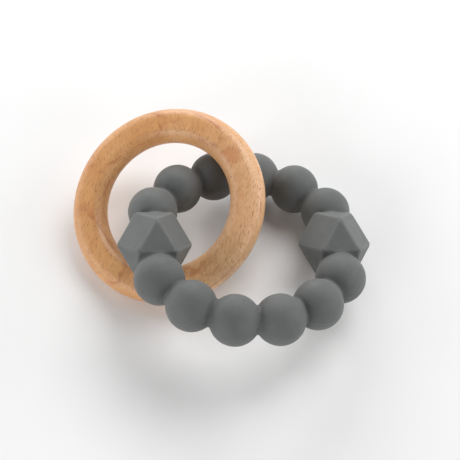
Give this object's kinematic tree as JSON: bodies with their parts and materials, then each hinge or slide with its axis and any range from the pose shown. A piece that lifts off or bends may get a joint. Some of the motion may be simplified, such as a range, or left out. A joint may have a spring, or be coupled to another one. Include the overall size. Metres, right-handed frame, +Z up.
{
  "type": "teething ring",
  "caption": "Baby teething ring: a loop of soft grey silicone beads, with a faceted bead at either side, linked through a turned beech wood ring.",
  "frame": {"origin": "middle of the footprint of the part as it rests on a table, at table height", "axes": "+X to the right along the longest side, +Y to the back, +Z up"},
  "size_m": [0.1015, 0.0964, 0.0358],
  "materials": {
    "grey_silicone": "matte moulded silicone",
    "beech": "smooth, waxed"
  },
  "bodies": {
    "faceted_bead_left": {"faceted_bead_left": "grey_silicone"},
    "bead_back_1": {"bead_back_1": "grey_silicone"},
    "bead_back_2": {"bead_back_2": "grey_silicone"},
    "bead_back_3": {"bead_back_3": "grey_silicone"},
    "bead_back_4": {"bead_back_4": "grey_silicone"},
    "bead_back_5": {"bead_back_5": "grey_silicone"},
    "bead_back_6": {"bead_back_6": "grey_silicone"},
    "faceted_bead_right": {"faceted_bead_right": "grey_silicone"},
    "bead_front_6": {"bead_front_6": "grey_silicone"},
    "bead_front_5": {"bead_front_5": "grey_silicone"},
    "bead_front_4": {"bead_front_4": "grey_silicone"},
    "bead_front_3": {"bead_front_3": "grey_silicone"},
    "bead_front_2": {"bead_front_2": "grey_silicone"},
    "bead_front_1": {"bead_front_1": "grey_silicone"},
    "wooden_ring": {"wooden_ring": "beech"}
  },
  "joints": [
    {"name": "neck_front_1", "type": "hinge", "parent": "faceted_bead_left", "child": "bead_front_1", "pos_m": [-0.0216, -0.01526, 0.02557], "axis": [-0.1914, -0.1983, -0.9613], "range_deg": [0, 7.44], "stiffness_Nm_per_rad": 2},
    {"name": "neck_front_2", "type": "hinge", "parent": "bead_front_1", "child": "bead_front_2", "pos_m": [-0.0165, -0.02734, 0.02704], "axis": [-0.1914, -0.1983, -0.9613], "range_deg": [0, 1.62]},
    {"name": "neck_front_3", "type": "hinge", "parent": "bead_front_2", "child": "bead_front_3", "pos_m": [-0.00504, -0.03625, 0.0266], "axis": [-0.1914, -0.1983, -0.9613], "range_deg": [-5.06, 0]},
    {"name": "neck_front_4", "type": "hinge", "parent": "bead_front_3", "child": "bead_front_4", "pos_m": [0.00893, -0.03961, 0.02451], "axis": [-0.1914, -0.1983, -0.9613], "range_deg": [-8.02, 0]},
    {"name": "neck_front_5", "type": "hinge", "parent": "bead_front_4", "child": "bead_front_5", "pos_m": [0.02277, -0.0368, 0.02117], "axis": [-0.1914, -0.1983, -0.9613], "range_deg": [-5.06, 0]},
    {"name": "neck_front_6", "type": "hinge", "parent": "bead_front_5", "child": "bead_front_6", "pos_m": [0.03389, -0.02834, 0.01722], "axis": [-0.1914, -0.1983, -0.9613], "range_deg": [0, 1.62]},
    {"name": "neck_faceted_right", "type": "hinge", "parent": "bead_front_6", "child": "faceted_bead_right", "pos_m": [0.03851, -0.01645, 0.01384], "axis": [-0.1914, -0.1983, -0.9613], "range_deg": [0, 7.46]},
    {"name": "neck_back_6", "type": "hinge", "parent": "faceted_bead_right", "child": "bead_back_6", "pos_m": [0.03816, 0.00156, 0.01019], "axis": [-0.1914, -0.1983, -0.9613], "range_deg": [0, 7.46]},
    {"name": "neck_back_1", "type": "hinge", "parent": "faceted_bead_left", "child": "bead_back_1", "pos_m": [-0.02195, 0.00275, 0.02192], "axis": [0.1914, 0.1983, 0.9613], "range_deg": [0, 7.46]},
    {"name": "neck_back_2", "type": "hinge", "parent": "bead_back_1", "child": "bead_back_2", "pos_m": [-0.01733, 0.01464, 0.01854], "axis": [0.1914, 0.1983, 0.9613], "range_deg": [0, 1.62]},
    {"name": "neck_back_3", "type": "hinge", "parent": "bead_back_2", "child": "bead_back_3", "pos_m": [-0.00621, 0.0231, 0.01459], "axis": [0.1914, 0.1983, 0.9613], "range_deg": [-5.06, 0]},
    {"name": "neck_back_4", "type": "hinge", "parent": "bead_back_3", "child": "bead_back_4", "pos_m": [0.00763, 0.02591, 0.01125], "axis": [0.1914, 0.1983, 0.9613], "range_deg": [-8.02, 0]},
    {"name": "neck_back_5", "type": "hinge", "parent": "bead_back_4", "child": "bead_back_5", "pos_m": [0.0216, 0.02255, 0.00916], "axis": [0.1914, 0.1983, 0.9613], "range_deg": [-5.06, 0]},
    {"name": "wooden_ring_lift", "type": "hinge", "parent": "faceted_bead_left", "child": "wooden_ring", "pos_m": [-0.02281, -0.00705, 0.01995], "axis": [0.9876, 0.0496, 0.1489], "range_deg": [0, 50]}
  ],
  "couplings": [
    {"joint": "neck_front_2", "follows": "neck_front_1", "ratio": 0.21505},
    {"joint": "neck_front_3", "follows": "neck_front_1", "ratio": -0.67742},
    {"joint": "neck_front_4", "follows": "neck_front_1", "ratio": -1.0753},
    {"joint": "neck_front_5", "follows": "neck_front_1", "ratio": -0.67742},
    {"joint": "neck_front_6", "follows": "neck_front_1", "ratio": 0.21505},
    {"joint": "neck_faceted_right", "follows": "neck_front_1", "ratio": 1},
    {"joint": "neck_back_6", "follows": "neck_front_1", "ratio": 1},
    {"joint": "neck_back_1", "follows": "neck_front_1", "ratio": 1},
    {"joint": "neck_back_2", "follows": "neck_front_1", "ratio": 0.21505},
    {"joint": "neck_back_3", "follows": "neck_front_1", "ratio": -0.67742},
    {"joint": "neck_back_4", "follows": "neck_front_1", "ratio": -1.0753},
    {"joint": "neck_back_5", "follows": "neck_front_1", "ratio": -0.67742}
  ]
}
